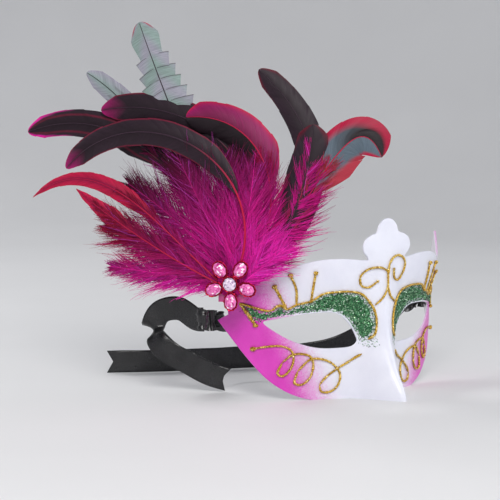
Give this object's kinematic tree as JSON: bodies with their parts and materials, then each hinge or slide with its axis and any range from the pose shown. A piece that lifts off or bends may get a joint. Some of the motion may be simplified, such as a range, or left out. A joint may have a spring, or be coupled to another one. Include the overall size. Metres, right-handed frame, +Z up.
{
  "type": "masquerade mask",
  "caption": "Half mask with almond eye holes, a lobed crown, raised gold scrollwork, glitter shadow, a side plume of feathers with a flower brooch, and two satin ties.",
  "frame": {"origin": "middle of the whole object's footprint, on the plane that the mask's lower rim stands on", "axes": "+Z up, the wearer looks along -Y, +X towards the wearer's left"},
  "size_m": [0.2807, 0.2219, 0.2503],
  "materials": {
    "shell_white": "moulded half mask, white centre with airbrushed magenta sides, satin",
    "gold_glue": "gold glitter glue set in raised lines, sparkling",
    "green_glitter": "emerald and silver glitter flakes on clear glue",
    "pink_gem": "faceted pink acrylic, foil backed, polished",
    "clear_gem": "faceted clear acrylic, foil backed, polished",
    "red_foil": "thin pressed metal with a red lacquer, glossy",
    "black_satin": "polyester satin ribbon with a soft sheen",
    "felt": "thin craft felt",
    "set_glue": "set hot glue, translucent cream",
    "pink_down": "hot pink dyed marabou down",
    "crimson_feather": "crimson dyed cock feather",
    "grey_green_feather": "grey-green barred feather with a dark shaft",
    "dark_feather": "dark purple-black cock feather with a magenta rim"
  },
  "bodies": {
    "mask": {"brooch_plate": "red_foil", "centre_cup": "red_foil", "centre_gem": "clear_gem", "feather_barred": "grey_green_feather", "feather_collar": "set_glue", "feather_crimson_arch": "crimson_feather", "feather_curled": "dark_feather", "feather_dark_right": "dark_feather", "feather_dark_tall_arch": "dark_feather", "feather_dark_tall_left": "dark_feather", "feather_dark_tall_right": "dark_feather", "feather_front_arch": "dark_feather", "feather_lilac": "grey_green_feather", "feather_pad": "felt", "fluff_left": "pink_down", "fluff_low": "pink_down", "fluff_middle": "pink_down", "fluff_right": "pink_down", "fluff_short_right": "pink_down", "fluff_upper": "pink_down", "fluff_upper_left": "pink_down", "fluff_upper_right": "pink_down", "gold_cheek_curl_left": "gold_glue", "gold_cheek_curl_right": "gold_glue", "gold_eye_outline_left": "gold_glue", "gold_eye_outline_right": "gold_glue", "gold_forehead_scroll": "gold_glue", "green_glitter_left": "green_glitter", "green_glitter_right": "green_glitter", "hackle_crimson": "crimson_feather", "hackle_long": "crimson_feather", "mask_shell": "shell_white", "petal_cup_1": "red_foil", "petal_cup_2": "red_foil", "petal_cup_3": "red_foil", "petal_cup_4": "red_foil", "petal_cup_5": "red_foil", "petal_gem_1": "pink_gem", "petal_gem_2": "pink_gem", "petal_gem_3": "pink_gem", "petal_gem_4": "pink_gem", "petal_gem_5": "pink_gem", "ribbon_knot_left": "black_satin", "ribbon_knot_right": "black_satin"},
    "right_tie": {"ribbon_tail_right": "black_satin"},
    "left_tie": {"ribbon_tail_left": "black_satin"}
  },
  "joints": [
    {"name": "right_tie_swing", "type": "hinge", "parent": "mask", "child": "right_tie", "pos_m": [-0.05638, -0.01724, 0.053], "axis": [0, 0, 1], "range_deg": [-35, 45]},
    {"name": "left_tie_swing", "type": "hinge", "parent": "mask", "child": "left_tie", "pos_m": [0.13638, -0.01724, 0.053], "axis": [0, 0, 1], "range_deg": [-45, 12]}
  ]
}
